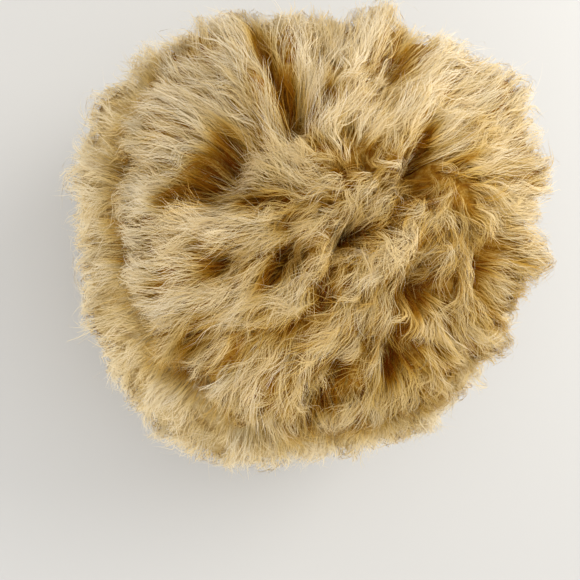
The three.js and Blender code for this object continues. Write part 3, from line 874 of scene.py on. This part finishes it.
# The wool's pieces, in sectors round the hat, degrees from the first azimuth on to the second
PIECES = [
    {"name": "crown_wool_front", "node": "crown_fleece", "sector": (210, 330)},
    {"name": "crown_wool_right", "node": "crown_fleece", "sector": (330, 90)},
    {"name": "crown_wool_left", "node": "crown_fleece", "sector": (90, 210)},
    {"name": "band_wool_front", "node": "band_fleece", "sector": (210, 330)},
    {"name": "band_wool_right", "node": "band_fleece", "sector": (330, 90)},
    {"name": "band_wool_left", "node": "band_fleece", "sector": (90, 210)},
]
strand_azimuth = np.degrees(angles_of(lock_place)[0])[wisp_lock[strand_wisp]]
strand_on_band = wisp_lock[strand_wisp] >= CROWN_LOCKS


def strands_of(piece):
    start, end = piece["sector"]
    inside = (strand_azimuth - start) % 360 < (end - start) % 360
    return np.nonzero(inside & (strand_on_band == (piece["node"] == "band_fleece")))[0]


for piece in PIECES:
    made = mesh_of(piece["name"], *fibres_of(strands_of(piece)))
    crown = piece["node"] == "crown_fleece"
    made.data.materials.append(CROWN_WOOL if crown else BAND_WOOL)
    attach(made, "root")
    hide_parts(piece["node"])

# The underwool below them
UNDER_COLUMNS = 200
UNDER_DEPTH = 5.5  # mm below the outer surface
UNDER_FLOOR = 2.0  # mm over the floor
UNDER_CLEAR = 0.7  # mm between it and the hide
CLUMP_HEIGHT = 1.6  # mm
CLUMP_SCALE = 26
TUFT_HEIGHT = 1.0  # mm
TUFT_SCALE = 60


def underwool(name, node, rows, from_polar, to_polar):
    """A closed shell of matted wool between the hide and the fibres."""
    azimuth = np.arange(UNDER_COLUMNS) * 2 * math.pi / UNDER_COLUMNS
    flat = direction(azimuth, np.full_like(azimuth, math.pi / 2))
    start, end = from_polar(flat), to_polar(flat)
    share = np.linspace(0, 1, rows)
    ways = direction(azimuth[:, None], start[:, None] + (end - start)[:, None] * share)
    depth = UNDER_DEPTH + CLUMP_HEIGHT * waves(ways, CLUMP_SCALE, seed=8)
    depth += TUFT_HEIGHT * waves(ways, TUFT_SCALE, seed=9)
    outer = np.maximum(sample(SURFACE, ways) - depth, sample(HIDE, ways) + HIDE_CLEAR)
    shown = CENTRE + ways * outer[..., None]
    inner = CENTRE + ways * (sample(HIDE, ways) + UNDER_CLEAR)[..., None]
    sheet = np.concatenate([shown, inner[:, ::-1]], axis=1)
    sheet[..., 2] = np.maximum(sheet[..., 2], UNDER_FLOOR)
    sheet = clear_of_rim(sheet, UNDER_CLEAR)
    total = sheet.shape[1]
    column, row = np.meshgrid(np.arange(UNDER_COLUMNS), np.arange(total), indexing="ij")

    def corner(c, r):
        return (c % UNDER_COLUMNS) * total + r % total

    faces = np.stack(
        [corner(column, row), corner(column, row + 1), corner(column + 1, row + 1),
         corner(column + 1, row)],
        axis=-1,
    )
    mesh = bpy.data.meshes.new(name)
    mesh.from_pydata((sheet.reshape(-1, 3) * MM).tolist(), [], faces.reshape(-1, 4).tolist())
    mesh.shade_smooth()
    made = bpy.data.objects.new(name, mesh)
    bpy.context.scene.collection.objects.link(made)
    mesh.materials.append(CROWN_UNDERWOOL if node == "crown_fleece" else BAND_UNDERWOOL)
    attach(made, "root")
    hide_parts(node)


underwool("crown_underwool", "crown_fleece", 32, from_polar=at_top, to_polar=at_valley)
underwool("band_underwool", "band_fleece", 26, from_polar=at_valley, to_polar=at_bottom)

for name in ("crown_hide", "band_hide"):
    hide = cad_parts[name]
    hide.data.materials.clear()
    hide.data.materials.append(SUEDE)

# Floor, light and camera
FLOOR_HALF = 6
floor_corners = [(x * FLOOR_HALF, y * FLOOR_HALF, 0) for x, y in ((-1, -1), (1, -1), (1, 1), (-1, 1))]
floor_mesh = bpy.data.meshes.new("floor")
floor_mesh.from_pydata(floor_corners, [], [(0, 1, 2, 3)])
floor = bpy.data.objects.new("floor", floor_mesh)
bpy.context.scene.collection.objects.link(floor)
pale, _, _, floor_shader = new_material("pale_floor")
floor_shader.inputs["Base Color"].default_value = (0.53, 0.53, 0.52, 1)
floor_shader.inputs["Roughness"].default_value = 0.7
floor_mesh.materials.append(pale)

world = bpy.data.worlds.new("studio")
bpy.context.scene.world = world
world.use_nodes = True
world.node_tree.nodes["Background"].inputs[0].default_value = (1.0, 0.975, 0.945, 1)
world.node_tree.nodes["Background"].inputs[1].default_value = 1.15


LIT_POINT = (0, 0, 0.1)
LIGHT_SIZE = 0.9


def area_light(name, place, watts, colour):
    data = bpy.data.lights.new(name, "AREA")
    data.shape = "DISK"
    data.size = LIGHT_SIZE
    data.energy = watts
    data.color = colour
    made = bpy.data.objects.new(name, data)
    bpy.context.scene.collection.objects.link(made)
    made.location = place
    made.rotation_euler = (Vector(LIT_POINT) - Vector(place)).to_track_quat("-Z", "Y").to_euler()


area_light("key", (0.85, 0.45, 0.80), 8.5, (1.0, 0.97, 0.92))
area_light("fill", (-0.8, -0.7, 0.7), 3, (0.95, 0.97, 1.0))

PHOTO = 580  # px, both ways
SIGHT = Vector((0, 0, 0.100))  # the point that the photograph's angle is measured at
DISTANCE = 0.385
LEAN_LEFT = math.radians(12)
LEAN_FRONT = math.radians(10)
SIGHT_PIXEL = (300, 247)  # where the photograph shows that point, from its upper left

camera = bpy.data.objects.new("camera", bpy.data.cameras.new("camera"))
bpy.context.scene.collection.objects.link(camera)
bpy.context.scene.camera = camera
camera.data.sensor_width = 36
camera.data.lens = 36
camera.data.clip_start = 0.01
from_sight = Vector((-math.tan(LEAN_LEFT), -math.tan(LEAN_FRONT), 1)).normalized()
camera.location = SIGHT + DISTANCE * from_sight
right = Vector((0, 1, 0)).cross(from_sight).normalized()
up = from_sight.cross(right)
pixel = DISTANCE / PHOTO
off_middle = right * (PHOTO / 2 - SIGHT_PIXEL[0]) + up * (SIGHT_PIXEL[1] - PHOTO / 2)
look = (SIGHT + off_middle * pixel - camera.location).normalized()
side = look.cross(Vector((0, 1, 0))).normalized()
axes = (side, side.cross(look), -look)
camera.rotation_euler = Matrix(axes).transposed().to_euler()

bpy.context.scene.view_settings.view_transform = "Standard"
